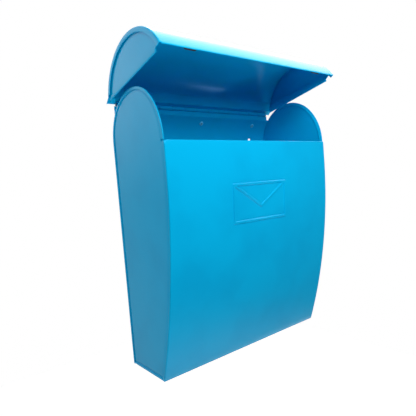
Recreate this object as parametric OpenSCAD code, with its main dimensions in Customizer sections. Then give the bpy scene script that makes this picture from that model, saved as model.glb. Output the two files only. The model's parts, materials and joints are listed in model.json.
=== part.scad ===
// Wall mailbox in painted sheet steel: a curved body hung on four screws,
// with a domed lid on a continuous hinge. Millimetres, +Z up, front towards -Y.
// The origin is the middle of the screw pattern, on the wall. The lid is drawn
// as it stands at rest, lifted by lid_open from its closed position.

/* [Body] */
// Width over the side panels
body_w = 290; // [200:1:400]
// Height from the bottom to the crown of the side panels
body_h = 361; // [300:1:450]
// Depth at the mouth, from the wall to the front panel
body_d = 125.6; // [100:0.1:160]
// Depth at the bottom, from the wall to the front panel
foot_d = 79; // [60:1:95]
// Straight height of the front panel under the mouth
front_straight = 27; // [10:1:60]
// How much the crown's radius falls short of half the depth
crown_short = 2.7; // [1:0.1:4]
// How much the brow's radius exceeds half the depth
brow_over = 13.1; // [8:0.1:20]
// Thickness of the sheet steel
sheet_t = 0.8; // [0.6:0.1:1.2]
// Width of the folded seam round each side panel
seam_w = 3.5; // [2.5:0.1:6]
// Depth of the hem folded inside the front panel's top edge
hem_w = 9; // [5:0.5:14]

/* [Lid] */
// Angle by which the lid stands open at rest
lid_open = 43.7; // [20:0.1:70]
// Clear space between the body's outline and the lid's skin
lid_gap = 7.6; // [5:0.1:12]
// How far the lid stands past the body on each side
lid_side = 9; // [6:0.1:14]
// Angle of the lid's front edge below the middle of its arc
lid_drop = 12; // [8:0.5:18]
// Width of the seam band round each end of the lid
lid_band = 6; // [4:0.1:9]
// Depth of the hem folded inside the lid's front edge
lid_hem = 9; // [5:0.5:14]
// Length cut from each cheek at the lid's front edge
cheek_clip = 12; // [6:1:20]
// Angle of that cut to the cheek's straight edge
clip_angle = 26.6; // [15:0.1:45]

/* [Hinge] */
// Angle of the hinge pin above the middle of the lid's arc
hinge_angle = 46; // [40:0.5:52]
// Distance of the hinge pin outside the lid's skin
hinge_out = 2.1; // [1:0.1:4]
// Radius of the hinge pin
pin_r = 1.5; // [1:0.1:2]
// Radial running clearance of the pin in its knuckles
pin_fit = 0.05; // [0.02:0.01:0.1]
// Thickness of the hinge leaves
leaf_t = 0.8; // [0.6:0.1:1.2]
// How far the hinge stops short of each side of the body
hinge_inset = 3; // [2:0.5:20]
// Number of knuckles
knuckle_n = 13; // [5:2:21]
// Gap between neighbouring knuckles
knuckle_gap = 0.4; // [0.3:0.1:1]
// Width of each leaf's riveted or welded foot
leaf_foot = 13; // [9:0.5:20]
// Distance of the outer rivets from the middle
rivet_x = 110; // [60:1:135]
// Radius of the rivet shanks
rivet_r = 1.6; // [1.2:0.1:2]
// Radius of the rivet heads
rivet_head_r = 3.2; // [2.5:0.1:4]
// Height of the rivet heads
rivet_head_h = 1.2; // [0.8:0.1:2]
// Thickness of the pin's peened heads
pin_head_t = 1; // [0.5:0.1:2]

/* [Wall screws] */
// Distance between the two screws in a row
screw_dx = 218; // [100:1:250]
// Distance between the upper and lower rows
screw_dz = 250; // [150:1:260]
// Distance of the upper row below the crown
screw_top = 53; // [45:1:80]
// Radius of the screw holes
screw_r = 3; // [2:0.1:4]

/* [Bumpers] */
// Distance of each bumper's middle from the middle of the lid
bumper_x = 112; // [60:1:135]
// Length of each bumper along the lid's edge
bumper_l = 16; // [8:1:30]
// Width of each bumper along the lid's arc
bumper_w = 6; // [4:0.5:8]
// Thickness of each bumper
bumper_t = 2.5; // [1:0.1:4]

/* [Envelope mark] */
// Width of the pressed envelope outline
mark_w = 100; // [50:1:140]
// Height of the pressed envelope outline
mark_h = 52; // [30:1:80]
// Distance of the outline's top below the mouth
mark_top = 54; // [25:1:80]
// Distance of the flap's point below the outline's middle
mark_dip = 6; // [2:1:15]
// Width of the pressed bead
bead_w = 4; // [2:0.5:6]
// Height of the pressed bead
bead_h = 0.8; // [0.4:0.1:1.5]

/* [Hidden] */
$fn = 180;
far = 1000;
paint = "#0fa8dc";
paint_dark = "#0b7fae";
steel = "#8f9396";
rubber = "#22201f";

// Gap left between sheets that lie on each other
seat_gap = 0.05;
// Gap left between parts that move past each other
run_gap = 0.3;
// Overlap between shapes that join
lap = 1;
// Length of the cuts made for screws and rivets
drill_l = 20;
// Angle by which the back panel's bent top passes the hinge leaf
top_past_a = 5;
// Angle between the back panel's end and the rims folded round the dome
rim_gap_a = 0.5;

// Angle in degrees of an arc of length l at radius r
function turn(l, r) = l / r * 180 / PI;

half_w = body_w / 2;

// Side outline: crown arc at the wall side, brow arc at the front, both tangent
crown_r = body_d / 2 - crown_short;
brow_r = body_d / 2 + brow_over;
crown_c = [-crown_r, body_h - crown_r];
brow_y = brow_r - body_d;
mouth_z = crown_c[1] - sqrt(pow(brow_r - crown_r, 2) - pow(brow_y - crown_c[0], 2));
brow_c = [brow_y, mouth_z];
brow_turn = atan2(crown_c[1] - mouth_z, crown_c[0] - brow_y);
// Front panel: straight under the mouth, then one long arc back to the bottom
bend_z = mouth_z - front_straight;
front_in = body_d - foot_d;
front_r = (pow(front_in, 2) + pow(bend_z, 2)) / (2 * front_in);

// Lid arc about lid_c, its hinge pin at pivot
lid_c = [-body_d / 2, body_h - body_d / 2];
lid_in = body_d / 2 + lid_gap;
lid_out = lid_in + sheet_t;
lid_x = half_w + lid_side;
barrel_r = pin_r + pin_fit + leaf_t;
pivot = lid_c + (lid_out + hinge_out) * [cos(hinge_angle), sin(hinge_angle)];
flange_z = pivot[1] + barrel_r + run_gap;
rear_a = asin((flange_z - lid_c[1]) / lid_in);
front_a = 180 + lid_drop;
web_z = flange_z - seat_gap - leaf_t;

// Hinge knuckles
hinge_x = half_w - hinge_inset;
knuckle_l = 2 * hinge_x / knuckle_n;
leaf_r = crown_r + seat_gap;
web_a = acos((pivot[0] - crown_c[0]) / (leaf_r + leaf_t / 2));
foot_a = web_a - turn(leaf_foot, leaf_r);
rivet_a = (web_a + foot_a) / 2;
panel_top_a = web_a + top_past_a;
screw_mid = body_h - screw_top - screw_dz / 2;

// Bumper: flat against the inside of the lid's hem, just behind the edge
bumper_r = sqrt(pow(lid_in - sheet_t - seat_gap, 2) - pow(bumper_w / 2, 2));
bumper_a = front_a - turn(bumper_w / 2 + sheet_t, bumper_r);

// Moves the part from its bottom line to the middle of the screw pattern
module hung() {
    translate([0, 0, -screw_mid]) children();
}

// Stands the closed lid open at its resting angle
module lifted() {
    hung() translate([0, pivot[0], pivot[1]]) rotate([-lid_open, 0, 0])
        translate([0, -pivot[0], -pivot[1]]) children();
}

// Extrudes a side view, drawn as [y, z], from x0 to x1
module slab(x0, x1) {
    translate([x0, 0, 0]) rotate([90, 0, 90]) linear_extrude(x1 - x0) children();
}

// Mirrors what stands on the right to the left as well
module both_sides() {
    children();
    mirror([1, 0, 0]) children();
}

// Part of a ring about c between two angles less than 180 degrees apart
module arc_band(c, r_in, r_out, a0, a1) {
    mid = (a0 + a1) / 2;
    reach = 2 * r_out / cos((a1 - a0) / 4);
    translate(c) intersection() {
        difference() {
            circle(r_out);
            circle(r_in);
        }
        polygon([for (a = [a0, mid, a1]) reach * [cos(a), sin(a)], [0, 0]]);
    }
}

// Filled side view of the body, inset from its outline and from its bottom
module side_view(inset, floor_inset) {
    y0 = -body_d + inset;
    // below the mouth
    intersection() {
        translate([y0, floor_inset]) square([body_d - 2 * inset, mouth_z - floor_inset]);
        union() {
            translate([-body_d + front_r, bend_z]) circle(front_r - inset);
            translate([y0, bend_z]) square([body_d, front_straight]);
        }
    }
    // behind the mouth, up to the crown
    translate([-crown_r, mouth_z - lap]) square([crown_r - inset, crown_c[1] - mouth_z + lap]);
    translate(crown_c) circle(crown_r - inset);
    // the brow, from the mouth to where it meets the crown
    translate(brow_c) intersection() {
        circle(brow_r - inset);
        polygon([[0, 0], far * [cos(brow_turn), sin(brow_turn)], [-far, far], [-far, 0]]);
    }
}

// Outer strip of the side view, w wide
module side_strip(w) {
    difference() {
        side_view(0, 0);
        side_view(w, 0);
    }
}

// The quarter of the side view that the front panel covers
module front_zone() {
    translate([-far - foot_d / 2, 0]) square([far, mouth_z]);
}

module back_panel() {
    color(paint_dark) hung() difference() {
        union() {
            slab(-half_w - sheet_t, half_w + sheet_t) back_outline(sheet_t);
            both_sides() slab(half_w, half_w + sheet_t) back_outline(seam_w);
        }
        screw_places() rotate([90, 0, 0]) cylinder(r = screw_r, h = drill_l, center = true);
        for (x = [-rivet_x, 0, rivet_x]) rivet_axis(x) rivet_hole();
    }
}

// Back panel seen from the side: flat on the wall, then bent over with the crown
module back_outline(w) {
    translate([-w, 0]) square([w, crown_c[1]]);
    arc_band(crown_c, crown_r - w, crown_r, 0, panel_top_a);
}

module screw_places() {
    for (x = [-screw_dx / 2, screw_dx / 2], z = [-screw_dz / 2, screw_dz / 2])
        translate([x, 0, screw_mid + z]) children();
}

// Side panel on the right, its rim folded outwards round the dome
module side_panel() {
    slab(half_w - sheet_t, half_w) side_view(sheet_t + seat_gap, sheet_t + seat_gap);
    slab(half_w - sheet_t, half_w + sheet_t) difference() {
        side_strip(seam_w);
        translate([-far, -far]) square([2 * far, far + mouth_z + run_gap]);
        translate(crown_c) polygon([
            [0, 0], [0, -far], [far, -far],
            far * [cos(panel_top_a + rim_gap_a), sin(panel_top_a + rim_gap_a)],
        ]);
    }
}

module right_side() {
    color(paint) hung() side_panel();
}

module left_side() {
    color(paint) hung() mirror([1, 0, 0]) side_panel();
}

module front_panel() {
    color(paint) hung() {
        slab(-half_w - sheet_t, half_w + sheet_t) intersection() {
            side_strip(sheet_t);
            front_zone();
        }
        both_sides() slab(half_w, half_w + sheet_t) intersection() {
            side_strip(seam_w);
            front_zone();
        }
        // hem folded inside the top edge
        slab(-half_w + 2 * sheet_t, half_w - 2 * sheet_t) intersection() {
            side_strip(2 * sheet_t);
            translate([-far, mouth_z - hem_w]) square([far - body_d / 2, hem_w]);
        }
        // pressed envelope outline, standing bead_h off the panel
        intersection() {
            slab(-mark_w, mark_w) intersection() {
                difference() {
                    translate([-bead_h, 0]) side_view(0, 0);
                    side_view(sheet_t / 2, 0);
                }
                front_zone();
            }
            translate([0, 0, mouth_z - mark_top - mark_h / 2]) rotate([90, 0, 0])
                linear_extrude(2 * body_d) envelope();
        }
    }
}

// Envelope outline about its middle: a frame, and a flap folded to a point
module envelope() {
    w = mark_w / 2;
    h = mark_h / 2;
    slope = (h + mark_dip) / w;
    rise = bead_w / 2 * sqrt(1 + slope * slope);
    difference() {
        square([mark_w, mark_h], center = true);
        square([mark_w - 2 * bead_w, mark_h - 2 * bead_w], center = true);
    }
    both_ways() polygon([
        [-w, h], [-w, h - rise], [0, -mark_dip - rise],
        [0, -mark_dip + rise], [-w + rise / slope, h],
    ]);
}

// Mirrors a flat shape to the right as well
module both_ways() {
    children();
    mirror([1, 0]) children();
}

module bottom_panel() {
    color(paint_dark) hung() {
        slab(-half_w, half_w) intersection() {
            side_view(sheet_t + seat_gap, 0);
            translate([-body_d, 0]) square([body_d, sheet_t]);
        }
        both_sides() slab(half_w - sheet_t, half_w + sheet_t) intersection() {
            side_view(seam_w + seat_gap, 0);
            translate([-body_d, 0]) square([body_d, sheet_t]);
        }
        both_sides() slab(half_w, half_w + sheet_t) intersection() {
            side_view(seam_w + seat_gap, 0);
            translate([-body_d, 0]) square([body_d, seam_w]);
        }
    }
}

// Puts children on a rivet's axis, +Z outwards from the crown
module rivet_axis(x) {
    translate([x, crown_c[0], crown_c[1]]) rotate([-90 + rivet_a, 0, 0]) children();
}

module rivet_hole() {
    translate([0, 0, crown_r - drill_l / 2]) cylinder(r = rivet_r + seat_gap, h = drill_l);
}

module rivet(x) {
    z_in = sqrt(pow(crown_r - sheet_t, 2) - pow(rivet_head_r, 2)) - seat_gap;
    z_out = leaf_r + leaf_t + seat_gap;
    color(paint_dark) hung() rivet_axis(x) {
        translate([0, 0, z_in - rivet_head_h])
            cylinder(r = rivet_r, h = z_out - z_in + 2 * rivet_head_h);
        translate([0, 0, z_out]) cylinder(r1 = rivet_head_r, r2 = rivet_r, h = rivet_head_h);
        translate([0, 0, z_in - rivet_head_h])
            cylinder(r1 = rivet_r, r2 = rivet_head_r, h = rivet_head_h);
    }
}

module hinge_rivet_left() {
    rivet(-rivet_x);
}

module hinge_rivet_centre() {
    rivet(0);
}

module hinge_rivet_right() {
    rivet(rivet_x);
}

// The hinge's knuckle spans, counted from the left: even ones fixed, odd ones moving
module knuckle_spans(first) {
    for (i = [first:2:knuckle_n - 1]) {
        x0 = -hinge_x + i * knuckle_l + knuckle_gap / 2;
        slab(x0, x0 + knuckle_l - knuckle_gap) children();
    }
}

module pin_bore() {
    slab(-half_w, half_w) translate(pivot) circle(pin_r + pin_fit);
}

// Space swept by the other leaf's knuckles
module knuckle_room() {
    translate(pivot) circle(barrel_r + run_gap);
}

module fixed_web() {
    foot_z = crown_c[1] + leaf_r * sin(web_a);
    translate([pivot[0] - leaf_t / 2, foot_z]) square([leaf_t, pivot[1] - foot_z]);
}

module hinge_fixed_leaf() {
    color(paint_dark) hung() difference() {
        union() {
            slab(-hinge_x, hinge_x) difference() {
                union() {
                    arc_band(crown_c, leaf_r, leaf_r + leaf_t, foot_a, web_a);
                    fixed_web();
                }
                knuckle_room();
            }
            knuckle_spans(0) {
                fixed_web();
                translate(pivot) circle(barrel_r);
            }
        }
        pin_bore();
        for (x = [-rivet_x, 0, rivet_x]) rivet_axis(x) rivet_hole();
    }
}

module hinge_moving_leaf() {
    foot_r = lid_in - seat_gap;
    start_a = asin((web_z + leaf_t / 2 - lid_c[1]) / foot_r);
    web_y = lid_c[0] + (foot_r - leaf_t) * cos(start_a);
    color(paint_dark) lifted() difference() {
        union() {
            slab(-hinge_x, hinge_x) difference() {
                union() {
                    arc_band(lid_c, foot_r - leaf_t, foot_r,
                        start_a, start_a + turn(leaf_foot, foot_r));
                    translate([web_y, web_z]) square([pivot[0] - web_y, leaf_t]);
                }
                knuckle_room();
            }
            knuckle_spans(1) {
                translate([web_y, web_z]) square([pivot[0] - web_y, leaf_t]);
                translate(pivot) circle(barrel_r);
            }
        }
        pin_bore();
    }
}

// Pin with a peened head at each end
module hinge_pin() {
    head = pin_r + leaf_t / 2;
    color(steel) hung() {
        slab(-hinge_x - pin_head_t, hinge_x + pin_head_t) translate(pivot) circle(pin_r);
        both_sides() slab(hinge_x + run_gap, hinge_x + run_gap + pin_head_t)
            translate(pivot) circle(head);
    }
}

module lid_cover() {
    flange_y = lid_c[0] + lid_in * cos(rear_a);
    flange_l = pivot[0] - flange_y + pin_r;
    hem_a = front_a - turn(lid_hem, lid_in);
    color(paint) lifted() {
        slab(-lid_x, lid_x) {
            arc_band(lid_c, lid_in, lid_out, rear_a, front_a);
            translate([flange_y, flange_z]) square([flange_l, sheet_t]);
        }
        both_sides() slab(lid_x - sheet_t, lid_x)
            arc_band(lid_c, lid_out - lid_band, lid_out, rear_a, front_a);
        slab(-lid_x + 3 * sheet_t, lid_x - 3 * sheet_t)
            arc_band(lid_c, lid_in - sheet_t, lid_in + sheet_t / 2, hem_a, front_a);
    }
}

// Cheek on the right: a circle cut straight between the two ends of the lid's arc
module cheek() {
    r = lid_in - seat_gap;
    rear = r * [cos(rear_a), sin(rear_a)];
    front = r * [cos(front_a), sin(front_a)];
    along = (front - rear) / norm(front - rear);
    across = [along[1], -along[0]];
    clip = front - cheek_clip * along;
    cut = cos(clip_angle) * along + sin(clip_angle) * across;
    lifted() slab(lid_x - 2 * sheet_t - seat_gap, lid_x - sheet_t - seat_gap)
        translate(lid_c) intersection() {
            circle(r);
            polygon([rear, clip, clip + far * cut, rear + far * across]);
        }
}

module lid_right_cheek() {
    color(paint) cheek();
}

module lid_left_cheek() {
    color(paint) mirror([1, 0, 0]) cheek();
}

// Pad under the lid's front edge
module bumper(x) {
    color(rubber) lifted() slab(x - bumper_l / 2, x + bumper_l / 2)
        translate(lid_c) rotate(bumper_a) translate([bumper_r - bumper_t, -bumper_w / 2])
            square([bumper_t, bumper_w]);
}

module lid_bumper_left() {
    bumper(-bumper_x);
}

module lid_bumper_right() {
    bumper(bumper_x);
}

back_panel();
left_side();
right_side();
front_panel();
bottom_panel();
hinge_fixed_leaf();
hinge_pin();
hinge_rivet_left();
hinge_rivet_centre();
hinge_rivet_right();
lid_cover();
lid_left_cheek();
lid_right_cheek();
hinge_moving_leaf();
lid_bumper_left();
lid_bumper_right();
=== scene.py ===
import json
import math

import bmesh
import bpy
from mathutils import Matrix, Vector, noise


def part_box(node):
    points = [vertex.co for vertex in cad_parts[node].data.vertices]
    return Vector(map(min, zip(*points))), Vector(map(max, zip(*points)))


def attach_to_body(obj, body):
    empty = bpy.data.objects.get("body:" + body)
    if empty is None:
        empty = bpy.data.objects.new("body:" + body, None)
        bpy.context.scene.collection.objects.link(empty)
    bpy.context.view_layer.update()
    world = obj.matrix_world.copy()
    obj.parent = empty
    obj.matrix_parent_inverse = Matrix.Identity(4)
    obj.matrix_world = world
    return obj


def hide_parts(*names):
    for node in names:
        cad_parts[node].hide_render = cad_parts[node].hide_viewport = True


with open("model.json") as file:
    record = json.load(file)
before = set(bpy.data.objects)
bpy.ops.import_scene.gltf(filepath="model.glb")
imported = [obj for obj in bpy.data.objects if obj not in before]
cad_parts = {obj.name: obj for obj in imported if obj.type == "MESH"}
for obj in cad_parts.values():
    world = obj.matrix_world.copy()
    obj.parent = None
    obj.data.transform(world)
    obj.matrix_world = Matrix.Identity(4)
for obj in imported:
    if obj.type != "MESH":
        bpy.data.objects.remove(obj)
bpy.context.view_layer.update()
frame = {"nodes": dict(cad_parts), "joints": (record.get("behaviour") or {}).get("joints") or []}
print("frame loaded:", len(frame["nodes"]), "nodes")

# A mailbox folded from 0.8 mm sheet steel. Lengths in the dictionaries are millimetres
# and angles are degrees. Side views are drawn as (y, z) pairs.

mm = 0.001
sheet = 0.8 * mm
tiny = 1e-7          # anything shorter, in metres, counts as nothing

making = {
    "merge": 0.01,       # points closer than this are one point
    "edge": 0.22,        # rounding of the sheet's cut edges
    "edgeAngle": 60,     # only sharper corners are rounded
    "crease": 38,        # sharper folds are shaded as creases
    "turnedCrease": 50,
    "turnedSides": 40,
    "drillSides": 48,
    "drillLength": 20,
    "cornerStep": 22.5,  # degrees between the mesh lines round a fold
    "foldSteps": 8,      # faces round the half turn of a hem
    "waveFade": 20,      # slow hollows die out over this distance from an edge
}


# colours and nodes

def hexColor(code):
    # sRGB hex to the linear colour that shaders want
    channels = [int(code[i:i + 2], 16) / 255 for i in (1, 3, 5)]
    return [c / 12.92 if c <= 0.04045 else ((c + 0.055) / 1.055) ** 2.4 for c in channels] + [1.0]


def addNode(tree, kind, inputs=None, **settings):
    node = tree.nodes.new("ShaderNode" + kind)
    for name, value in settings.items():
        setattr(node, name, value)
    for name, value in (inputs or {}).items():
        if isinstance(value, bpy.types.NodeSocket):
            tree.links.new(value, node.inputs[name])
        else:
            node.inputs[name].default_value = value
    return node


def newMaterial(name):
    material = bpy.data.materials.new(name)
    material.use_nodes = True
    material.node_tree.nodes.clear()
    return material, material.node_tree


def noiseScale(feature):
    # noise texture scale that gives blotches about this many millimetres across
    return 1 / (feature * mm)


# side view of the body, from the frame

sideLow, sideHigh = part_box("left_side")
frontLow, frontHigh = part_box("front_panel")

body = {
    "crownShort": 2.7,      # crown radius under half the depth
    "browOver": 13.1,       # brow radius over half the depth
    "footDepth": 79,        # depth at the bottom
    "straight": 27,         # upright stretch under the mouth
    "seam": 3.5,            # width of the folded seams
    "corner": 1.3,          # outside radius of the folds
    "hemRadius": 0.85,      # outside radius of an edge folded flat on itself
    "seat": 0.05,           # gap between sheets that lie on each other
    "browBack": 1.6,        # how far the sides' front edge is dressed back at the mouth
}

seam = body["seam"] * mm
foldR = body["corner"] * mm
hemR = body["hemRadius"] * mm
seat = body["seat"] * mm

halfWidth = frontHigh.x - sheet
panelHalf = halfWidth + sheet
depth = -sideLow.y
floorZ = frontLow.z
crownTop = sideHigh.z
crownR = depth / 2 - body["crownShort"] * mm
browR = depth / 2 + body["browOver"] * mm
crownC = Vector((-crownR, crownTop - crownR))
browY = browR - depth
mouthZ = crownC.y - math.sqrt((browR - crownR) ** 2 - (browY - crownC.x) ** 2)
browC = Vector((browY, mouthZ))
browTurn = math.degrees(math.atan2(crownC.y - mouthZ, crownC.x - browY))
bendZ = mouthZ - body["straight"] * mm
inset = depth - body["footDepth"] * mm
frontR = (inset ** 2 + (bendZ - floorZ) ** 2) / (2 * inset)
frontC = Vector((-depth + frontR, bendZ))


def polar(degrees):
    a = math.radians(degrees)
    return Vector((math.cos(a), math.sin(a)))


def turnOf(point, centre):
    return math.degrees(math.atan2(point.y - centre.y, point.x - centre.x))


def steps(start, end, size):
    count = max(1, round(abs(end - start) / size))
    return [start + (end - start) * i / count for i in range(count + 1)]


def arcPath(centre, radius, start, end, step=3.0):
    # points of an arc with their outward directions
    count = max(2, round(abs(end - start) / step))
    turns = [start + (end - start) * i / count for i in range(count + 1)]
    return [(centre + radius * polar(a), polar(a)) for a in turns]


def frontPoint(z):
    # front panel's outline at a height, with its outward direction
    if z >= bendZ:
        return Vector((-depth, z)), Vector((-1, 0))
    y = frontC.x - math.sqrt(frontR ** 2 - (z - frontC.y) ** 2)
    return Vector((y, z)), (Vector((y, z)) - frontC).normalized()


def domePoint(degrees):
    # outline over the mouth, along a ray from the middle of the crown's foot
    foot = Vector((crownC.x, mouthZ))
    ray = polar(degrees)
    # brow arc, then crown arc, each with a degree to spare at its outer end
    arcs = ((browC, browR, browTurn, 181), (crownC, crownR, -1, browTurn))
    for centre, radius, low, high in arcs:
        offset = foot - centre
        along = offset.dot(ray)
        reach = -along + math.sqrt(along ** 2 - offset.length_squared + radius ** 2)
        point = foot + reach * ray
        turn = turnOf(point, centre)
        if low <= turn <= high:
            outward = (point - centre).normalized()
            dressed = max(0, (turn - browTurn) / (180 - browTurn)) if centre == browC else 0
            return point - body["browBack"] * mm * dressed * outward, outward
    return Vector((0, foot.y + math.tan(math.radians(degrees)) * crownR)), Vector((1, 0))


# sheet metal tools

def place(x, point):
    return Vector((x, point.x, point.y))


def acrossPanel(half, flange, flats):
    # section of a folded panel from its left flange to its right one, as (x, depth)
    tip = max(flange, foldR * 1.02)     # without a flange it still ends just past its fold
    left = [(-half, tip), (-half, (tip + foldR) / 2)]
    left += [(-half + foldR - foldR * math.cos(a), foldR - foldR * math.sin(a))
             for a in map(math.radians, steps(0, 90, making["cornerStep"]))]
    right = [(-x, d) for x, d in reversed(left)]
    return left + [(x, 0.0) for x in flats] + right


def panelGrid(path, half, flanges, flats, relief=None):
    rows = []
    for (point, outward), flange in zip(path, flanges):
        row = []
        for x, d in acrossPanel(half, flange, flats):
            lift = relief(x, point) if relief and d == 0 else 0
            row.append(place(x, point + (lift - d) * outward))
        rows.append(row)
    return rows


def stripGrid(path, xs):
    # plain strip between the given x values
    return [[place(x, point) for x in xs] for point, outward in path]


def halfTurn():
    return [math.pi * i / making["foldSteps"] for i in range(making["foldSteps"] + 1)]


def foldPath(point, outward, along, length):
    # edge folded back on itself: half a turn inwards, then a straight lip
    centre = point - hemR * outward
    path = []
    for a in halfTurn():
        facing = math.cos(a) * outward + math.sin(a) * along
        path.append((centre + hemR * facing, facing))
    path.append((path[-1][0] - length * along, path[-1][1]))
    return path


def mirrored(grids):
    return [[[Vector((-p.x, p.y, p.z)) for p in row] for row in rows] for rows in grids]


def addGrid(bm, rows):
    made = [[bm.verts.new(p) for p in row] for row in rows]
    for a, b in zip(made, made[1:]):
        for i in range(len(a) - 1):
            quad = [a[i], a[i + 1], b[i + 1], b[i]]
            if (quad[0].co - quad[3].co).length < tiny:
                quad = quad[:3]
            elif (quad[1].co - quad[2].co).length < tiny:
                quad = [quad[0], quad[1], quad[3]]
            bm.faces.new(quad)


def linkObject(name, data):
    item = bpy.data.objects.new(name, data)
    bpy.context.scene.collection.objects.link(item)
    return item


def linkMesh(name, bm):
    mesh = bpy.data.meshes.new(name)
    bm.to_mesh(mesh)
    bm.free()
    return linkObject(name, mesh)


def meshObject(name, bm, material, modifiers=(), cutters=(), crease=making["crease"]):
    piece = linkMesh(name, bm)
    for kind, settings in modifiers:
        modifier = piece.modifiers.new(kind.lower(), kind)
        for key, value in settings.items():
            setattr(modifier, key, value)
    for cutter in cutters:
        modifier = piece.modifiers.new("cut", "BOOLEAN")
        modifier.operation = "DIFFERENCE"
        modifier.solver = "EXACT"
        modifier.object = cutter
    bpy.context.view_layer.update()
    shaped = piece.evaluated_get(bpy.context.evaluated_depsgraph_get())
    final = bpy.data.meshes.new_from_object(shaped)
    piece.modifiers.clear()
    piece.data = final
    final.shade_smooth()
    final.set_sharp_from_angle(angle=math.radians(crease))
    final.materials.clear()
    final.materials.append(material)
    for cutter in cutters:
        bpy.data.objects.remove(cutter)
    return piece


def sheetPiece(name, grids, outward, material, cutters=()):
    # folds one or more grids into a sheet; outward is which way the first face looks
    bm = bmesh.new()
    for rows in grids:
        addGrid(bm, rows)
    bmesh.ops.remove_doubles(bm, verts=bm.verts, dist=making["merge"] * mm)
    bmesh.ops.recalc_face_normals(bm, faces=bm.faces)
    bm.faces.ensure_lookup_table()
    bm.normal_update()
    if bm.faces[0].normal.dot(outward) < 0:
        bmesh.ops.reverse_faces(bm, faces=bm.faces)
    modifiers = [
        ("SOLIDIFY", {"thickness": sheet, "offset": -1, "use_even_offset": True}),
        ("BEVEL", {"width": making["edge"] * mm, "segments": 2, "limit_method": "ANGLE",
                   "angle_limit": math.radians(making["edgeAngle"])}),
    ]
    return meshObject(name, bm, material, modifiers, cutters)


def turnedRing(bm, centre, axis, radius, height, sides):
    # ring of points square to an axis
    turnTo = Vector((0, 0, 1)).rotation_difference(Vector(axis).normalized()).to_matrix()
    ring = []
    for i in range(sides):
        a = math.tau * i / sides
        local = Vector((radius * math.cos(a), radius * math.sin(a), height))
        ring.append(bm.verts.new(Vector(centre) + turnTo @ local))
    return ring


def lathe(name, profile, centre, axis, material, sides=making["turnedSides"]):
    # turned piece: profile is (radius, height along axis)
    bm = bmesh.new()
    rings = [turnedRing(bm, centre, axis, radius, height, sides if radius > tiny else 1)
             for radius, height in profile]
    for a, b in zip(rings, rings[1:]):
        for i in range(sides):
            j = (i + 1) % sides
            corners = [a[i % len(a)], a[j % len(a)], b[j % len(b)], b[i % len(b)]]
            bm.faces.new(list(dict.fromkeys(corners)))
    bmesh.ops.recalc_face_normals(bm, faces=bm.faces)
    return meshObject(name, bm, material, crease=making["turnedCrease"])


def drill(centre, axis, radius):
    # round cutter for a hole
    bm = bmesh.new()
    sides = making["drillSides"]
    reach = making["drillLength"] * mm / 2
    ends = [turnedRing(bm, centre, axis, radius, height, sides) for height in (-reach, reach)]
    for i in range(sides):
        j = (i + 1) % sides
        bm.faces.new([ends[0][i], ends[0][j], ends[1][j], ends[1][i]])
    bm.faces.new(list(reversed(ends[0])))
    bm.faces.new(ends[1])
    return linkMesh("drill", bm)


def attach(piece, owner, slot, *nodes):
    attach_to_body(piece, owner)
    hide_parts(*nodes)
    print("made", piece.name, len(piece.data.polygons), "faces")
    return piece


def waves(x, point, height, length, margin):
    # slow hollows that a folded sheet keeps, fading out at its edges
    fade = min(1.0, max(0.0, margin) / (making["waveFade"] * mm))
    at = Vector((x, point.x, point.y)) / (length * mm)
    return height * mm * fade * noise.noise(at)


# finishes

powder = {
    "color": "#04b5eb",       # bright blue
    "deepColor": "#04ade4",   # where the coat is a little thinner
    "tone": (0.3, 0.55),      # how soon one goes over into the other
    "blotch": 70,             # size of the slow changes in tone
    "peel": 3.2,              # orange peel, 1.5 mm in life, drawn coarser so that it shows
    "bump": (0.05, 0.1),      # strength and height of the peel
    "roughness": (0.16, 0.24),     # least and most
    "ior": 1.36,              # 1.5 is usual; less, as this coat reflects only weakly
    "tint": "#5cb4ff",        # head-on reflections take the paint's blue
}


def makePowderCoat(name, values):
    # Gloss powder coat, sprayed and baked: clean reflections broken by faint orange peel
    material, tree = newMaterial(name)
    coords = addNode(tree, "TexCoord").outputs["Object"]
    blotch = addNode(tree, "TexNoise", {
        "Vector": coords, "Scale": noiseScale(values["blotch"]), "Detail": 3.0, "Roughness": 0.5})
    tone = addNode(tree, "ValToRGB", {"Fac": blotch.outputs["Fac"]})
    shades = zip(tone.color_ramp.elements, values["tone"], (values["deepColor"], values["color"]))
    for stop, position, shade in shades:
        stop.position = position
        stop.color = hexColor(shade)
    peel = addNode(tree, "TexNoise", {
        "Vector": coords, "Scale": noiseScale(values["peel"]), "Detail": 1.0, "Roughness": 0.4})
    gloss = addNode(tree, "MapRange", {
        "Value": blotch.outputs["Fac"],
        "To Min": values["roughness"][1], "To Max": values["roughness"][0]})
    bump = addNode(tree, "Bump", {
        "Height": peel.outputs["Fac"],
        "Strength": values["bump"][0], "Distance": values["bump"][1] * mm})
    shader = addNode(tree, "BsdfPrincipled", {
        "Base Color": tone.outputs["Color"], "Roughness": gloss.outputs["Result"],
        "Normal": bump.outputs["Normal"], "IOR": values["ior"],
        "Specular Tint": hexColor(values["tint"])})
    addNode(tree, "OutputMaterial", {"Surface": shader.outputs["BSDF"]})
    return material


steelWire = {
    "color": "#b4b8bc",
    "scratch": 1.2,           # drawing lines, 0.1 mm apart in life, coarser so that they show
    "stretch": 0.06,          # they run along the wire, so they vary this much slower there
    "bump": (0.2, 0.05),      # strength and height of the lines
    "roughness": (0.28, 0.45),
}


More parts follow.
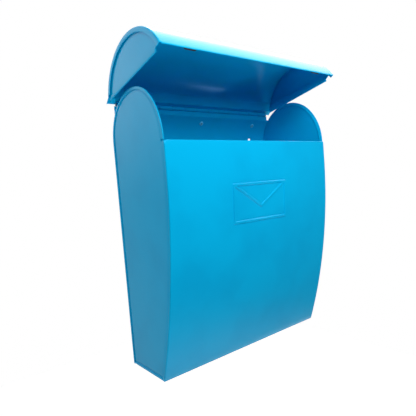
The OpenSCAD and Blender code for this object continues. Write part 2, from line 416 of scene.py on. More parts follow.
def makeSteelWire(name, values):
    # Drawn mild steel wire: grey metal with fine lines along its length
    material, tree = newMaterial(name)
    coords = addNode(tree, "TexCoord").outputs["Object"]
    stretch = addNode(tree, "Mapping", {"Vector": coords, "Scale": (values["stretch"], 1.0, 1.0)})
    lines = addNode(tree, "TexNoise", {
        "Vector": stretch.outputs["Vector"], "Scale": noiseScale(values["scratch"]), "Detail": 4.0})
    rough = addNode(tree, "MapRange", {
        "Value": lines.outputs["Fac"],
        "To Min": values["roughness"][0], "To Max": values["roughness"][1]})
    bump = addNode(tree, "Bump", {
        "Height": lines.outputs["Fac"],
        "Strength": values["bump"][0], "Distance": values["bump"][1] * mm})
    shader = addNode(tree, "BsdfPrincipled", {
        "Base Color": hexColor(values["color"]), "Metallic": 1.0,
        "Roughness": rough.outputs["Result"], "Normal": bump.outputs["Normal"]})
    addNode(tree, "OutputMaterial", {"Surface": shader.outputs["BSDF"]})
    return material


# the rivets' coat is painted paler than the rest: a painted highlight, so that their heads stand
# out
rivetHighlightPowder = {**powder, "color": "#62d2f4", "deepColor": "#4fc2ea", "blotch": 6}

# broken mandrel stubs: the same wire, coloured near black as painted shade for the dark hollow they
# sit in
mandrelShadeWire = {**steelWire, "color": "#26282c", "scratch": 0.8, "roughness": (0.4, 0.6)}

padRubber = {
    "color": "#14161f",
    "paleColor": "#2b2726",   # dusty bloom
    "tone": (0.4, 0.75),
    "grain": 1.5,             # 0.3 mm in life, drawn coarser so that it shows
    "bump": (0.3, 0.1),       # strength and height of the grain
    "roughness": (0.55, 0.8),
    "ior": 1.52,
}


def makeRubber(name, values):
    # Moulded EPDM rubber: near black, matt, with a faint dusty bloom
    material, tree = newMaterial(name)
    coords = addNode(tree, "TexCoord").outputs["Object"]
    grain = addNode(tree, "TexNoise", {
        "Vector": coords, "Scale": noiseScale(values["grain"]), "Detail": 5.0})
    tone = addNode(tree, "ValToRGB", {"Fac": grain.outputs["Fac"]})
    shades = zip(tone.color_ramp.elements, values["tone"], (values["color"], values["paleColor"]))
    for stop, position, shade in shades:
        stop.position = position
        stop.color = hexColor(shade)
    rough = addNode(tree, "MapRange", {
        "Value": grain.outputs["Fac"],
        "To Min": values["roughness"][0], "To Max": values["roughness"][1]})
    bump = addNode(tree, "Bump", {
        "Height": grain.outputs["Fac"],
        "Strength": values["bump"][0], "Distance": values["bump"][1] * mm})
    shader = addNode(tree, "BsdfPrincipled", {
        "Base Color": tone.outputs["Color"], "Roughness": rough.outputs["Result"],
        "Normal": bump.outputs["Normal"], "IOR": values["ior"]})
    addNode(tree, "OutputMaterial", {"Surface": shader.outputs["BSDF"]})
    return material


paint = makePowderCoat("powderCoatedSteel", powder)
rivetHighlightPaint = makePowderCoat("powderCoatedRivetPaintedHighlight", rivetHighlightPowder)
steel = makeSteelWire("drawnSteelWire", steelWire)
paintedShadeMandrel = makeSteelWire("mandrelWirePaintedShade", mandrelShadeWire)
rubber = makeRubber("mouldedRubber", padRubber)
print("finishes ready")


# front panel, with the envelope outline pressed out of it

front = {
    "hem": 9,             # lip folded inside the mouth
    "hemShort": 2.6,      # how far the lip stops short of the sides
    "gridX": 8,           # spacing of the mesh across the plain parts
    "gridLow": 7,         # up the panel, under the envelope
    "gridHigh": 5,        # and over it
    "waveHeight": 0.25,
    "waveLength": 95,
}
mark = {
    "width": 100, "height": 52,
    "top": 54,            # under the mouth
    "dip": 6,             # how far the flap's point hangs below the middle
    "bead": 4,            # width of the pressed bead
    "flank": 0.5,         # share of its half width that slopes
    "lift": 1.25,
    "grid": 0.5,          # spacing of the mesh round the envelope
}

markC = Vector((0, mouthZ - (mark["top"] + mark["height"] / 2) * mm))


def markLines():
    w = (mark["width"] - mark["bead"]) / 2 * mm
    h = (mark["height"] - mark["bead"]) / 2 * mm
    corners = [Vector((-w, -h)), Vector((w, -h)), Vector((w, h)), Vector((-w, h))]
    point = Vector((0, -mark["dip"] * mm))
    lines = [(corners[i], corners[(i + 1) % 4]) for i in range(4)]
    return lines + [(corners[3], point), (corners[2], point)]


envelopeLines = markLines()


def envelopeLift(x, z):
    # height of the pressed bead: a ridge with a rounded top along each line of the outline
    at = Vector((x, z)) - markC
    if abs(at.x) > mark["width"] * mm or abs(at.y) > mark["height"] * mm:
        return 0
    near = math.inf
    for a, b in envelopeLines:
        t = max(0, min(1, (at - a).dot(b - a) / (b - a).length_squared))
        near = min(near, (at - a - t * (b - a)).length)
    reach = mark["bead"] * mm / 2
    if near >= reach:
        return 0
    slope = min(1, max(0, (reach - near) / (mark["flank"] * reach)))
    return mark["lift"] * mm * slope * slope * (3 - 2 * slope)


def frontRelief(x, point):
    margin = min(halfWidth - abs(x), point.y - floorZ, mouthZ - point.y)
    hollow = abs(waves(x, point, front["waveHeight"], front["waveLength"], margin))
    return envelopeLift(x, point.y) - hollow


def makeFront():
    lipX = panelHalf - front["hemShort"] * mm
    reach = mark["width"] / 2 * mm + mark["bead"] * mm
    flats = steps(-lipX, -reach, front["gridX"] * mm)
    flats += steps(-reach, reach, mark["grid"] * mm)[1:]
    flats += steps(reach, lipX, front["gridX"] * mm)[1:]
    tall = mark["height"] / 2 * mm + mark["bead"] * mm
    heights = steps(floorZ, markC.y - tall, front["gridLow"] * mm)
    heights += steps(markC.y - tall, markC.y + tall, mark["grid"] * mm)[1:]
    heights += steps(markC.y + tall, mouthZ - hemR, front["gridHigh"] * mm)[1:]
    path = [frontPoint(z) for z in heights]
    face = panelGrid(path, panelHalf, [seam] * len(path), flats, frontRelief)
    lip = foldPath(*path[-1], Vector((0, 1)), front["hem"] * mm)
    hem = stripGrid(lip, flats)
    piece = sheetPiece("frontPanel", [face, hem], Vector((-1, 0, 0)), paint)
    return attach(piece, "box", "powder_coat", "front_panel")


makeFront()


# back and bottom panels

back = {
    "topPast": 5,         # degrees that the bent top passes the hinge leaf
    "screwDx": 218, "screwDz": 250, "screwR": 3.0,
    "rivetX": 110, "rivetR": 1.7,
    "hingeFoot": 13,      # width of each hinge leaf's foot
    "gridX": 10, "gridZ": 12,
}

pivot = Vector(frame["joints"][0]["pos_m"])
leafR = crownR + seat
webTurn = math.degrees(math.acos((pivot.y - crownC.x) / (leafR + sheet / 2)))
footTurn = webTurn - math.degrees(back["hingeFoot"] * mm / leafR)
rivetTurn = (webTurn + footTurn) / 2
rivetAxis = place(0, polar(rivetTurn))
backFlats = steps(-panelHalf + foldR, panelHalf - foldR, back["gridX"] * mm)[1:-1]


def rivetPlace(x, reach):
    return place(x, crownC + reach * polar(rivetTurn))


def makeBack():
    heights = steps(floorZ, crownC.y, back["gridZ"] * mm)
    path = [(Vector((0, z)), Vector((1, 0))) for z in heights]
    path += arcPath(crownC, crownR, 0, webTurn + back["topPast"])[1:]
    face = panelGrid(path, panelHalf, [seam] * len(path), backFlats)
    screwX, screwZ = back["screwDx"] / 2 * mm, back["screwDz"] / 2 * mm
    cutters = [drill((sx * screwX, 0, sz * screwZ), (0, 1, 0), back["screwR"] * mm)
               for sx in (-1, 1) for sz in (-1, 1)]
    cutters += [drill(rivetPlace(x * mm, crownR), rivetAxis, back["rivetR"] * mm)
                for x in (-back["rivetX"], 0, back["rivetX"])]
    piece = sheetPiece("backPanel", [face], Vector((-1, 0, 0)), paint, cutters)
    return attach(piece, "box", "powder_coat", "back_panel")


bottom = {"gridY": 8}


def makeBottom():
    gap = sheet + seat
    low, high = -body["footDepth"] * mm + gap, -gap
    ys = [low, low + seam - gap, low + 2 * seam - gap]
    ys += steps(low + 3 * seam, high - 3 * seam, bottom["gridY"] * mm)
    ys += [high - 2 * seam + gap, high - seam + gap, high]
    path = [(Vector((y, floorZ)), Vector((0, -1))) for y in ys]
    # no side flanges where the front's and the back's own seams pass
    flanges = [0] * 2 + [seam] * (len(ys) - 4) + [0] * 2
    face = panelGrid(path, panelHalf, flanges, backFlats)
    piece = sheetPiece("bottomPanel", [face], Vector((-1, 0, 0)), paint)
    return attach(piece, "box", "powder_coat", "bottom_panel")


makeBack()
makeBottom()


# side panels

side = {
    "clear": 0.02,         # gap under the seams folded over them
    "grooveDepth": 0.55,   # joggle beside each seam
    "grooveWidth": 2.2,
    "beside": (-0.2, 0.1),             # mesh lines round the seam's edge
    "across": (0.4, 1.0, 1.9),         # and over the joggle, as shares of its width
    "inner": (0.12, 0.26, 0.42, 0.58, 0.74, 0.88, 1.0),      # and on to the middle
    "gridZ": 6,
    "mouthTurns": [179.8, 179, 178],   # rays close to the mouth, where the outline bends
    "rayStep": 3,
    "rimRadius": 0.8,
    "rimNudge": 0.01,      # the rim's bend starts this far out, so that its mesh lines stay apart
    "rimGap": 0.5,         # degrees left between the rim and the back panel's end
    "rimLip": 0.6,         # where the rim's lip has its middle mesh line
    "waveHeight": 0.35,
    "waveLength": 110,
    "waveBorder": 8,       # flat border
    "waveSeed": 0.3,       # picks another part of the noise
}

sideX = halfWidth - sheet - side["clear"] * mm


def sideRays():
    # lines from the side's outline to its middle, once round, with the outline's points inset
    # by the thickness of the seam
    gap = sheet + seat
    groove = side["grooveWidth"] * mm
    lines = [t * mm for t in side["beside"]] + [groove * t for t in side["across"]]
    heights = [floorZ + z for z in [gap] + [seam + t for t in lines]]
    heights += steps(heights[-1], mouthZ, side["gridZ"] * mm)[1:]
    rays = []
    for z in heights:
        edge = frontPoint(z)[0] + Vector((gap, 0))
        rays.append((edge, Vector(((edge.x - gap) / 2, z))))
    foot = Vector((crownC.x, mouthZ))
    rays[-1] = (rays[-1][0], foot)
    step = side["rayStep"]
    for turn in side["mouthTurns"] + steps(180 - step, step, step):
        point, outward = domePoint(turn)
        rays.append((point - gap * (point - foot).normalized(), foot))
    rays.append((Vector((-gap, mouthZ)), foot))
    for z, (edge, middle) in reversed(list(zip(heights, rays))[:-1]):
        rays.append((Vector((-gap, z)), middle))
    borders = [0] + [seam - gap + t for t in lines]
    return rays, borders, foot


def sideGrid(rays, borders):
    gap = sheet + seat
    groove = side["grooveWidth"] * mm
    rows = []
    for edge, middle in rays:
        length = (middle - edge).length
        reach = (middle - edge).normalized()
        row = []
        for d in borders + [borders[-1] + (length - borders[-1]) * t for t in side["inner"]]:
            at = edge + reach * d
            margin = min(d + gap, at.y - floorZ)
            # rounded joggle, deepest a little nearer to the seam
            ease = max(0.0, 1 - abs(margin - seam - groove * 0.45) / (groove * 0.55))
            sink = side["grooveDepth"] * mm * ease ** 0.5
            wave = abs(waves(side["waveSeed"], at, side["waveHeight"], side["waveLength"],
                             margin - side["waveBorder"] * mm))
            row.append(place(sideX - sink - wave, at))
        rows.append(row)
    return rows


def rimGrid(edges, foot):
    # rim folded outwards round the dome
    radius = side["rimRadius"] * mm
    lipEnd = seam - radius
    endTurn = webTurn + back["topPast"] + side["rimGap"]
    rows = []
    for edge in edges:
        if edge.y < mouthZ + 0.1 * mm:      # below the dome
            continue
        point, outward = domePoint(turnOf(edge, foot))
        if point.x > crownC.x and turnOf(point, crownC) < endTurn:
            continue
        middle = edge + outward * side["rimNudge"] * mm
        row = [place(sideX, edge)]
        for a in halfTurn()[1:]:
            row.append(place(sideX + radius * (1 - math.cos(a)),
                             middle + outward * radius * math.sin(a)))
        row.append(place(sideX + 2 * radius, middle - outward * lipEnd * side["rimLip"]))
        row.append(place(sideX + 2 * radius, middle - outward * lipEnd))
        rows.append(row)
    return rows


def makeSides():
    rays, borders, foot = sideRays()
    grids = [sideGrid(rays, borders), rimGrid([edge for edge, middle in rays], foot)]
    right = sheetPiece("rightSide", grids, Vector((-1, 0, 0)), paint)
    left = sheetPiece("leftSide", mirrored(grids), Vector((1, 0, 0)), paint)
    attach(right, "box", "powder_coat", "right_side")
    attach(left, "box", "powder_coat", "left_side")


makeSides()


# lid, drawn closed and then swung open to its resting angle

lid = {
    "open": 43.7,         # degrees open at rest
    "gap": 7.6,           # clear space over the body's outline
    "over": 8.99,         # how far it stands past the sides, a hair inside the frame's box
    "drop": 12,           # degrees that the front edge reaches below the middle
    "band": 6,            # end bands folded down over the cheeks
    "bandTip": (0.98, 0.96, 0.94),     # they narrow this much at the front edge
    "hem": 9,
    "flangeClear": 0.3,   # rear flange over the knuckles
    "rearTurn": 1.5,      # degrees of skin taken up by the bend into the rear flange
    "rearBend": 1.5,      # and how much of the flange
    "rearRound": 0.35,    # how much that bend's corner is taken off
    "gridX": 7, "borderX": 3,
    "gridTurn": 2.5,      # degrees between the mesh lines over the skin
    "tipTurn": 6,         # the last degrees before the front edge have a finer mesh
    "tipGrid": 1.2,
    "cheekClip": 12,      # front corner cut off each cheek, and the angle of the cut
    "clipAngle": 26.6,
    "cheekIn": 1.1,       # how far the cheeks lie inside the bands
    "cheekLow": 2.5,      # how far their hem hangs below the straight edge
    "cheekHem": 8,
    "cheekGrid": (0, 0.02, 0.05, 0.1, 0.2, 0.35, 0.5, 0.65, 0.8, 0.92, 1),
    "cheekWaveHeight": 0.3, "cheekWaveLength": 60, "cheekWaveSeed": 0.7,
    "waveHeight": 0.3, "waveLength": 100, "waveBorder": 6,
}
wire = {"radius": 1.5, "clear": 0.05}      # hinge pin, and its play in the knuckles

lidC = Vector((-depth / 2, crownTop - depth / 2))
lidIn = depth / 2 + lid["gap"] * mm
lidOut = lidIn + sheet
lidX = halfWidth + lid["over"] * mm
pin = Vector((pivot.y, pivot.z))
pinR = wire["radius"] * mm
barrelR = pinR + wire["clear"] * mm + sheet
flangeZ = pin.y + barrelR + lid["flangeClear"] * mm
rearTurn = math.degrees(math.asin((flangeZ - lidC.y) / lidIn))
frontTurn = 180 + lid["drop"]
swing = (Matrix.Translation(pivot) @ Matrix.Rotation(math.radians(-lid["open"]), 4, "X")
         @ Matrix.Translation(-pivot))


def swung(grids):
    return [[[swing @ p for p in row] for row in rows] for rows in grids]


def swungDirection(x, y, z):
    return swing.to_3x3() @ Vector((x, y, z))


def coverRelief(x, point):
    turn = turnOf(point, lidC) % 360
    arcMargin = math.radians(min(turn - rearTurn, frontTurn - turn)) * lidOut
    margin = min(lidX - abs(x), arcMargin) - lid["waveBorder"] * mm
    return -abs(waves(x, point, lid["waveHeight"], lid["waveLength"], margin))


def makeCover():
    flats = steps(-lidX + lid["borderX"] * mm, lidX - lid["borderX"] * mm, lid["gridX"] * mm)
    endTurn = frontTurn - math.degrees(hemR / lidOut)
    tipStart = endTurn - lid["tipTurn"]
    arc = arcPath(lidC, lidOut, rearTurn + lid["rearTurn"], tipStart, lid["gridTurn"])
    arc += arcPath(lidC, lidOut, tipStart, endTurn, lid["tipGrid"])[1:]
    band = [lid["band"] * mm] * len(arc)
    band[0] = 0
    for i, share in enumerate(lid["bandTip"]):
        band[i - len(lid["bandTip"])] *= share
    skin = panelGrid(arc, lidX, band, flats, coverRelief)
    flangeTop = flangeZ + sheet
    flangeY = lidC.x + lidIn * math.cos(math.radians(rearTurn))
    flange = [(Vector((pin.x + pinR, flangeTop)), Vector((0, 1))),
              (Vector((flangeY + lid["rearBend"] * mm, flangeTop)), Vector((0, 1))),
              (Vector((flangeY, flangeTop)) - lid["rearRound"] * mm * polar(45), polar(70)), arc[0]]
    rear = panelGrid(flange, lidX, [0] * 4, flats)
    rear[-1] = skin[0]
    point, outward = arc[-1]
    lip = foldPath(point, outward, Vector((-outward.y, outward.x)), 0)[:-1]
    hemTurn = endTurn - math.degrees(lid["hem"] * mm / lidIn)
    lip += arcPath(lidC, lidOut - 2 * hemR, endTurn, hemTurn)[1:]
    hem = stripGrid(lip, flats)
    piece = sheetPiece("lidCover", swung([skin, rear, hem]), swungDirection(-1, 0, 0), paint)
    return attach(piece, "lid", "powder_coat", "lid_cover")


def cheekGrids():
    radius = lidIn - seat
    rearEnd = radius * polar(rearTurn)
    frontEnd = radius * polar(frontTurn)
    along = (frontEnd - rearEnd).normalized()
    across = Vector((along.y, -along.x))
    clip = frontEnd - lid["cheekClip"] * mm * along
    a = math.radians(lid["clipAngle"])
    cut = math.cos(a) * along + math.sin(a) * across
    # where the cut meets the arc
    reach = -clip.dot(cut) + math.sqrt(clip.dot(cut) ** 2 - clip.length_squared + radius ** 2)
    cutEnd = clip + reach * cut
    endTurn = math.degrees(math.atan2(cutEnd.y, cutEnd.x)) % 360
    rim = [radius * polar(t) for t in steps(rearTurn, endTurn, 3)]
    rim += [cutEnd + (clip - cutEnd) * t / 4 for t in range(1, 5)]
    middle = (rearEnd + clip) / 2
    cheekX = lidX - sheet - lid["cheekIn"] * mm
    rows = []
    for point in rim:
        row = []
        for t in lid["cheekGrid"]:
            at = point + (middle - point) * t
            margin = min(radius - at.length, at.dot(across) - middle.dot(across))
            wave = abs(waves(lid["cheekWaveSeed"], lidC + at, lid["cheekWaveHeight"],
                             lid["cheekWaveLength"], margin))
            row.append(place(cheekX - wave, lidC + at))
        rows.append(row)
    # straight edge, folded inwards into a hem
    chord = rows[0] + rows[-1][-2::-1]
    down = -across
    hemRows = []
    for p in chord:
        base = Vector((p.y, p.z))
        edge = base + down * lid["cheekLow"] * mm
        row = [p]
        for a in halfTurn():
            row.append(place(cheekX - hemR * (1 - math.cos(a)), edge + down * hemR * math.sin(a)))
        row.append(place(cheekX - 2 * hemR, base - down * lid["cheekHem"] * mm))
        hemRows.append(row)
    return [rows, hemRows]


def makeCheeks():
    grids = cheekGrids()
    right = sheetPiece("lidRightCheek", swung(grids), Vector((1, 0, 0)), paint)
    left = sheetPiece("lidLeftCheek", swung(mirrored(grids)), Vector((-1, 0, 0)), paint)
    attach(right, "lid", "powder_coat", "lid_right_cheek")
    attach(left, "lid", "powder_coat", "lid_left_cheek")


cover = makeCover()
makeCheeks()


# hinge: two rolled leaves, a wire pin and three pop rivets

hinge = {
    "inset": 3,           # each end of the knuckles, inside the body's sides
    "knuckles": 13,
    "gap": 0.3,           # between knuckles
    "curl": 335,          # degrees that each knuckle wraps round the pin
    "curlGrid": 15,
    "fixedStart": -80,    # where on the pin each leaf's knuckles start, in degrees
    "movingStart": 100,
    "fixedGap": 0.04,     # between each leaf's web and the other leaf's knuckles
    "movingGap": 0.05,
    "bendTurn": 1.2,      # degrees of the foot, and length of the web, taken up by the bend
    "bendRun": 0.9,
    "gridX": 12,
    "gridTurn": 2.5,
    "lidReach": 4.3,      # how far the moving leaf ends inside the lid's outer faces
    "headR": 1.9,         # peened heads of the pin
    "headT": 1.0,
}

hingeX = halfWidth - hinge["inset"] * mm
knuckleL = 2 * hingeX / hinge["knuckles"]


def curlGrids(first, start, turn):
    # every second knuckle, as a sheet rolled round the pin
    grids = []
    path = arcPath(pin, barrelR, start, start + turn, hinge["curlGrid"])
    for i in range(first, hinge["knuckles"], 2):
        low = -hingeX + i * knuckleL + hinge["gap"] / 2 * mm
        high = low + knuckleL - hinge["gap"] * mm
        grids.append(stripGrid(path, [low, (low + high) / 2, high]))
    return grids


def makeFixedLeaf():
    # foot bent over the back panel's crown, then an upright web to the knuckles
    outer = leafR + sheet
    webY = pin.x + sheet / 2
    meet = math.degrees(math.acos((webY - crownC.x) / outer))
    path = arcPath(crownC, outer, footTurn, meet - hinge["bendTurn"], hinge["gridTurn"])
    bend = crownC + outer * polar(meet)
    path.append((bend + Vector((0.1, 0.12)) * mm, Vector((0.9, 0.4))))      # rounds the bend
    webTop = pin.y - barrelR - hinge["fixedGap"] * mm
    path += [(Vector((webY, z)), Vector((1, 0)))
             for z in (bend.y + hinge["bendRun"] * mm, (bend.y + pin.y) / 2, webTop)]
    leaf = stripGrid(path, steps(-halfWidth, halfWidth, hinge["gridX"] * mm))
    grids = [leaf] + curlGrids(0, hinge["fixedStart"], hinge["curl"])
    piece = sheetPiece("fixedLeaf", grids, place(0, polar(footTurn)), paint)
    return attach(piece, "box", "powder_coat", "hinge_fixed_leaf")


def makeMovingLeaf():
    # level web from the knuckles, then a foot that follows the inside of the skin
    footR = lidIn - seat - sheet
    webZ = flangeZ - seat - sheet
    start = math.degrees(math.asin((webZ + sheet / 2 - lidC.y) / (footR + sheet)))
    drop = webZ - pin.y
    webEnd = pin.x - math.sqrt((barrelR + hinge["movingGap"] * mm) ** 2 - drop ** 2)
    bend = lidC + footR * polar(start)
    path = [(Vector((webEnd, webZ)), Vector((0, -1))),
            (Vector((bend.x + hinge["bendRun"] * mm, webZ)), Vector((0, -1))),
            (bend + Vector((0.2, -0.2)) * mm, Vector((-0.4, -0.9)))]
    footEnd = start + math.degrees(back["hingeFoot"] * mm / footR)
    path += [(p, -n) for p, n in arcPath(lidC, footR, start + 1, footEnd, hinge["gridTurn"])]
    reach = lidX - hinge["lidReach"] * mm
    leaf = stripGrid(path, steps(-reach, reach, hinge["gridX"] * mm))
    grids = [leaf] + curlGrids(1, hinge["movingStart"], -hinge["curl"])
    piece = sheetPiece("movingLeaf", swung(grids), swungDirection(0, 0, -1), paint)
    return attach(piece, "lid", "powder_coat", "hinge_moving_leaf")


def makePin():
    head, thick = hinge["headR"] * mm, hinge["headT"] * mm
    inner = hingeX + hinge["gap"] * mm
    # domed head, in shares of its radius and thickness
    end = [(pinR, inner), (head, inner), (head, inner + 0.5 * thick),
           (head * 0.8, inner + 0.85 * thick), (head * 0.4, inner + 0.98 * thick),
           (0, inner + thick)]
    profile = [(radius, -height) for radius, height in reversed(end)] + end
    piece = lathe("hingePin", profile, pivot, (1, 0, 0), steel)
    return attach(piece, "box", "hinge_steel", "hinge_pin")


rivet = {
    "radius": 1.6,
    "headR": 3.6,
    "headHeight": 1.4,
    "mandrelR": 1.15,     # hollow that the mandrel broke off in
    "mandrelSides": 24,
}


def makeRivet(name, x, node):
    # pop rivet: a domed head outside, and inside a rolled lip round the broken mandrel
    r, head, tall, hollow = (rivet[k] * mm for k in ("radius", "headR", "headHeight", "mandrelR"))
    low = math.sqrt((crownR - sheet) ** 2 - head ** 2) - seat
    high = leafR + sheet + seat
    # in shares of the head's radius and height
    profile = [(0, low - 0.25 * tall), (hollow, low - 0.25 * tall),
               (hollow * 1.06, low - 0.9 * tall), (hollow * 1.35, low - tall),
               (head * 0.68, low - 0.86 * tall), (head * 0.9, low - 0.45 * tall),
               (head, low - 0.04 * tall), (head * 0.97, low), (r, low),
               (r, high), (head * 0.97, high), (head, high + 0.1 * tall),
               (head * 0.86, high + 0.55 * tall), (head * 0.55, high + 0.88 * tall),
               (0, high + tall)]
    # the heads take the paler paint, a painted highlight
    piece = lathe(name, profile, rivetPlace(x, 0), rivetAxis, rivetHighlightPaint)
    attach(piece, "box", "powder_coat", node)
    # the stub is coloured near black: painted shade for the hollow inside each rivet
    stub = [(0, low - 0.62 * tall), (hollow * 0.55, low - 0.66 * tall),
            (hollow * 0.85, low - 0.55 * tall), (hollow * 0.9, low - 0.2 * tall),
            (0, low - 0.2 * tall)]
    mandrel = lathe(name + "Mandrel", stub, rivetPlace(x, 0), rivetAxis, paintedShadeMandrel,
                    rivet["mandrelSides"])
    attach(mandrel, "box", "hinge_steel")


makeFixedLeaf()
makeMovingLeaf()
makePin()
makeRivet("rivetLeft", -back["rivetX"] * mm, "hinge_rivet_left")
makeRivet("rivetCentre", 0, "hinge_rivet_centre")
makeRivet("rivetRight", back["rivetX"] * mm, "hinge_rivet_right")


# rubber pads stuck inside the lid's front edge

pads = {
    "x": 112, "length": 16, "width": 6, "thick": 2.5,
    "corner": 1.6, "cornerLeast": 0.3,
    # rounded top: share of the thickness, and how far the outline has drawn in
    "crown": ((0, 0), (0.62, 0), (0.84, 0.12), (0.95, 0.34), (1.0, 0.75)),
}


def makePad(name, x, node):
    half = pads["width"] / 2 * mm
    thick = pads["thick"] * mm
    baseR = math.sqrt((lidIn - sheet - seat) ** 2 - half ** 2)
    turn = frontTurn - math.degrees((half + sheet) / baseR)
    outward, along = polar(turn), polar(turn + 90)
    bm = bmesh.new()
    rings = []
    for rise, shrink in pads["crown"]:
        inner = shrink * mm
        corner = max(pads["cornerLeast"] * mm, pads["corner"] * mm - inner)
        halfX = pads["length"] / 2 * mm - inner - corner
        halfS = half - inner - corner
        ring = []
        for k, (sx, ss) in enumerate(((1, 1), (-1, 1), (-1, -1), (1, -1))):
            for a in range(0, 91, 18):
                t = math.radians(a + 90 * k)
                across = sx * halfX + corner * math.cos(t)
                s = ss * halfS + corner * math.sin(t)
                point = lidC + (baseR - rise * thick) * outward + s * along
                ring.append(bm.verts.new(swing @ place(x + across, point)))
        rings.append(ring)
    for a, b in zip(rings, rings[1:]):
        for i in range(len(a)):
            j = (i + 1) % len(a)
            bm.faces.new([a[i], a[j], b[j], b[i]])
    bm.faces.new(rings[-1])
    bm.faces.new(rings[0])
    bmesh.ops.recalc_face_normals(bm, faces=bm.faces)
    piece = meshObject(name, bm, rubber)
    return attach(piece, "lid", "bumper_rubber", node)


makePad("padLeft", -pads["x"] * mm, "lid_bumper_left")
makePad("padRight", pads["x"] * mm, "lid_bumper_right")


# floor, light and camera

studio = {
    "floorDrop": 450,         # floor under the mailbox
    "floorHalf": 700,
    "floorMiddle": (350, 450),
    "floorColor": "#f7f7f6",
    "fibre": 8,               # paper fibre, 1 mm in life, drawn coarser so that it shows
    "fibreBump": (0.05, 0.2),
    "glow": 0.45,             # the floor is a lit sheet, so that it reads as white
    "room": (2.3, 0.08),      # plain light from straight below and from every side
    "belowBand": (-0.95, -0.55),
    "rear": (0.5, 1.8),       # more from behind, low down and higher up
    "rearBand": (0.35, 0.85),
    "riseBand": (-0.05, 0.35),
    "ceiling": 0.25,          # and from above
    "ceilingBand": (0.0, 0.7),
}

# spots, targets and sizes in millimetres, power in watts, roll in degrees
bodyMiddle = (0, -60, 20)
lamps = {
    "keySoftbox": {"spot": (-700, -850, 900), "size": (800, 800), "power": 5.0},
    "nearSoftbox": {"spot": (-50, -520, 360), "size": (300, 300), "power": 2.1},
    "topSoftbox": {"spot": (900, 300, 1050), "size": (1500, 1500), "power": 6},
    # white card that only shows in the gloss
    "sheenCard": {"spot": (900, 250, 1000), "size": (1500, 1500), "power": 14, "glossOnly": True},
    # thin strip that draws a streak inside the lid, and lights nothing but the lid's skin
    "stripLamp": {"spot": (510, -550, -300), "size": (340, 30), "power": 0.6,
                  "target": (0, -24, 200), "roll": 50, "only": cover},
}


def makeFloor():
    # Matt studio paper, almost white
    material, tree = newMaterial("studioPaper")
    coords = addNode(tree, "TexCoord").outputs["Object"]
    fibre = addNode(tree, "TexNoise", {
        "Vector": coords, "Scale": noiseScale(studio["fibre"]), "Detail": 4.0})
    bump = addNode(tree, "Bump", {
        "Height": fibre.outputs["Fac"],
        "Strength": studio["fibreBump"][0], "Distance": studio["fibreBump"][1] * mm})
    shader = addNode(tree, "BsdfPrincipled", {
        "Base Color": hexColor(studio["floorColor"]), "Roughness": 0.9,
        "Normal": bump.outputs["Normal"],
        "Emission Color": (1, 1, 1, 1), "Emission Strength": studio["glow"]})
    addNode(tree, "OutputMaterial", {"Surface": shader.outputs["BSDF"]})
    half = studio["floorHalf"] * mm
    z = floorZ - studio["floorDrop"] * mm
    midX, midY = (v * mm for v in studio["floorMiddle"])
    spans = steps(-half, half, half / 4)
    bm = bmesh.new()
    addGrid(bm, [[Vector((midX + x, midY + y, z)) for x in spans] for y in spans])
    meshObject("floor", bm, material)


def makeLamp(name, values):
    light = bpy.data.lights.new(name, "AREA")
    light.shape = "RECTANGLE"
    light.size, light.size_y = (v * mm for v in values["size"])
    light.energy = values["power"]
    lamp = linkObject(name, light)
    spot = Vector(values["spot"]) * mm
    target = Vector(values.get("target", bodyMiddle)) * mm
    aim = (target - spot).to_track_quat("-Z", "Y").to_matrix()
    roll = Matrix.Rotation(math.radians(values.get("roll", 0)), 3, "Z")
    lamp.location = spot
    lamp.rotation_euler = (aim @ roll).to_euler()
    lamp.visible_camera = False
    if values.get("glossOnly"):
        lamp.visible_diffuse = False
    if "only" in values:
        lit = bpy.data.collections.new(name + "Lit")
        lit.objects.link(values["only"])
        lamp.light_linking.receiver_collection = lit


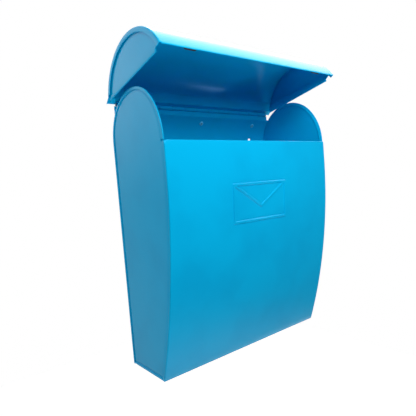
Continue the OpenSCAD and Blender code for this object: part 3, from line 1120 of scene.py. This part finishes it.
def makeWorld():
    # plain room: dim round the sides, bright behind and straight below
    world = bpy.data.worlds.new("studioRoom")
    bpy.context.scene.world = world
    world.use_nodes = True
    tree = world.node_tree
    tree.nodes.clear()
    direction = addNode(tree, "TexCoord").outputs["Generated"]
    split = addNode(tree, "SeparateXYZ", {"Vector": direction})
    # each level eases into the next as the direction turns through a band
    ease = {"interpolation_type": "SMOOTHSTEP"}
    rising = addNode(tree, "MapRange", {
        "Value": split.outputs["Z"],
        "From Min": studio["riseBand"][0], "From Max": studio["riseBand"][1],
        "To Min": studio["rear"][0], "To Max": studio["rear"][1]}, **ease)
    rear = addNode(tree, "MapRange", {
        "Value": split.outputs["Y"],
        "From Min": studio["rearBand"][0], "From Max": studio["rearBand"][1],
        "To Min": 0.0, "To Max": rising.outputs["Result"]}, **ease)
    below = addNode(tree, "MapRange", {
        "Value": split.outputs["Z"],
        "From Min": studio["belowBand"][0], "From Max": studio["belowBand"][1],
        "To Min": studio["room"][0], "To Max": studio["room"][1]}, **ease)
    above = addNode(tree, "MapRange", {
        "Value": split.outputs["Z"],
        "From Min": studio["ceilingBand"][0], "From Max": studio["ceilingBand"][1],
        "To Min": below.outputs["Result"], "To Max": studio["ceiling"]}, **ease)
    level = addNode(tree, "Math", {0: rear.outputs["Result"], 1: above.outputs["Result"]},
                    operation="ADD")
    room = addNode(tree, "Background", {
        "Color": (1, 1, 1, 1), "Strength": level.outputs["Value"]})
    paper = addNode(tree, "Background", {"Color": (1, 1, 1, 1), "Strength": 1.0})
    seen = addNode(tree, "LightPath").outputs["Is Camera Ray"]
    mix = addNode(tree, "MixShader", {
        0: seen, 1: room.outputs["Background"], 2: paper.outputs["Background"]})
    addNode(tree, "OutputWorld", {"Surface": mix.outputs["Shader"]})


makeFloor()
makeWorld()
for lampName, lampValues in lamps.items():
    makeLamp(lampName, lampValues)

camera = {
    "spot": (-381.0, -490.6, 50.6),
    "yaw": -38.326, "tilt": -3.094, "roll": 4.727,
    "lens": 34.01,
    "sensor": 36,
}


def makeCamera():
    data = bpy.data.cameras.new("camera")
    data.lens = camera["lens"]
    data.sensor_width = camera["sensor"]
    eye = linkObject("camera", data)
    # stood up to look along +Y first, then rolled, tilted and turned
    turn = (Matrix.Rotation(math.radians(camera["yaw"]), 4, "Z")
            @ Matrix.Rotation(math.radians(camera["tilt"]), 4, "X")
            @ Matrix.Rotation(math.radians(camera["roll"]), 4, "Y")
            @ Matrix.Rotation(math.radians(90), 4, "X"))
    eye.matrix_world = Matrix.Translation(Vector(camera["spot"]) * mm) @ turn
    bpy.context.scene.camera = eye


makeCamera()
bpy.context.scene.view_settings.view_transform = "Standard"
print("stage ready")
